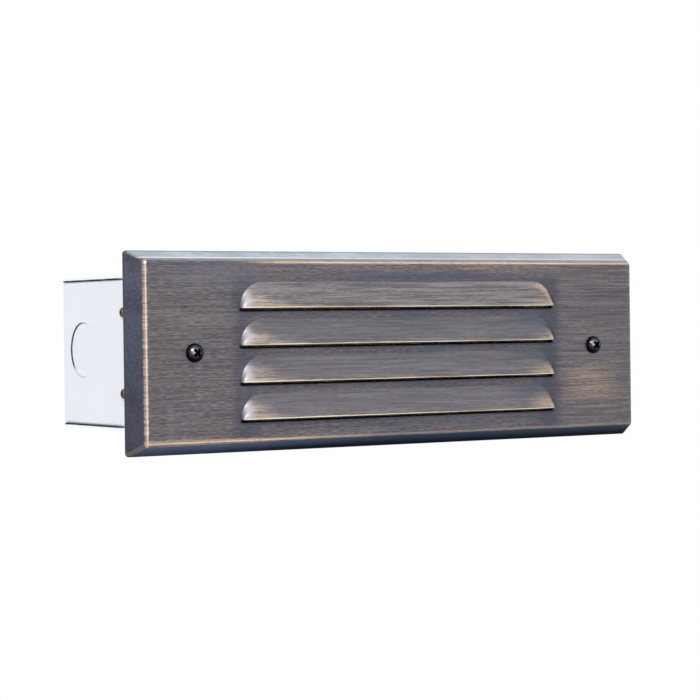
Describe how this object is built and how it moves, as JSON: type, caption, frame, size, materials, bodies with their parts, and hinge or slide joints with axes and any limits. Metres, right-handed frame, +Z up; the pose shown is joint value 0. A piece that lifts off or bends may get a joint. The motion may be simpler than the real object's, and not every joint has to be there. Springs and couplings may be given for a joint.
{
  "type": "step light",
  "caption": "Recessed louvred step light: brushed brass faceplate with downward hoods, frosted lens, reflector, wedge-base lamps and white sheet-metal wall box.",
  "frame": {"origin": "centre of the faceplate's rear rim, on the wall's face", "axes": "+X along the faceplate, +Y into the wall, +Z up"},
  "size_m": [0.243, 0.092, 0.0784],
  "materials": {
    "aged_brass": "horizontally brushed, darkened brass worn bright at the edges",
    "black_screw": "glossy black oxide",
    "washer_nylon": "natural nylon",
    "frosted_glass": "frosted tempered glass",
    "silicone": "translucent grey silicone",
    "foam": "closed-cell foam",
    "stainless": "satin stainless steel",
    "white_sheet": "smooth white coated sheet steel",
    "zinc_sheet": "zinc-plated sheet steel",
    "yellow_zinc": "yellow zinc plate",
    "reflector_aluminium": "bright rolled aluminium",
    "socket_plastic": "black moulded phenolic",
    "contact_brass": "bright spring brass",
    "bulb_glass": "clear glass",
    "filament_wire": "bare wire",
    "block_nylon": "ivory moulded nylon",
    "green_screw": "green dyed plating",
    "lead_insulation": "black wire insulation"
  },
  "bodies": {
    "housing": {"box_shell": "white_sheet", "left_end_panel": "white_sheet", "right_end_panel": "white_sheet", "left_knockout_slug": "white_sheet", "back_knockout_slug": "white_sheet", "left_plate_bracket": "zinc_sheet", "right_plate_bracket": "zinc_sheet", "left_side_screws": "yellow_zinc", "right_side_screws": "yellow_zinc", "reflector": "reflector_aluminium", "reflector_standoffs": "zinc_sheet", "reflector_screws": "zinc_sheet", "left_lamp_socket": "socket_plastic", "right_lamp_socket": "socket_plastic", "left_socket_contacts": "contact_brass", "right_socket_contacts": "contact_brass", "terminal_block": "block_nylon", "terminal_inserts": "contact_brass", "clamp_screws": "zinc_sheet", "block_screw": "zinc_sheet", "ground_screw": "green_screw", "left_socket_leads": "lead_insulation", "right_socket_leads": "lead_insulation"},
    "cover": {"faceplate": "aged_brass", "lens": "frosted_glass", "lens_gasket": "silicone", "lens_studs": "stainless", "lens_clips": "stainless", "clip_nuts": "stainless", "face_gasket": "foam"},
    "left_screw_carrier": {"left_captive_washer": "washer_nylon"},
    "left_screw": {"left_faceplate_screw": "black_screw"},
    "right_screw_carrier": {"right_captive_washer": "washer_nylon"},
    "right_screw": {"right_faceplate_screw": "black_screw"},
    "left_lamp": {"left_lamp_bulb": "bulb_glass", "left_lamp_filament": "filament_wire"},
    "right_lamp": {"right_lamp_bulb": "bulb_glass", "right_lamp_filament": "filament_wire"}
  },
  "joints": [
    {"name": "cover_lift_off", "type": "slide", "parent": "housing", "child": "cover", "axis": [0, -1, 0], "range_m": [0, 0.1]},
    {"name": "left_screw_back_out", "type": "slide", "parent": "cover", "child": "left_screw_carrier", "axis": [0, -1, 0], "range_m": [0, 0.007]},
    {"name": "left_screw_turn", "type": "hinge", "parent": "left_screw_carrier", "child": "left_screw", "pos_m": [-0.0965, 0, 0], "axis": [0, -1, 0], "range_deg": [0, 3174]},
    {"name": "left_lamp_pull", "type": "slide", "parent": "housing", "child": "left_lamp", "axis": [1, 0, 0], "range_m": [0, 0.01]},
    {"name": "right_screw_back_out", "type": "slide", "parent": "cover", "child": "right_screw_carrier", "axis": [0, -1, 0], "range_m": [0, 0.007]},
    {"name": "right_screw_turn", "type": "hinge", "parent": "right_screw_carrier", "child": "right_screw", "pos_m": [0.0965, 0, 0], "axis": [0, -1, 0], "range_deg": [0, 3174]},
    {"name": "right_lamp_pull", "type": "slide", "parent": "housing", "child": "right_lamp", "axis": [-1, 0, 0], "range_m": [0, 0.01]}
  ],
  "couplings": [
    {"joint": "left_screw_turn", "follows": "left_screw_back_out", "rad_per_m": 7913.3},
    {"joint": "right_screw_turn", "follows": "right_screw_back_out", "rad_per_m": 7913.3}
  ]
}
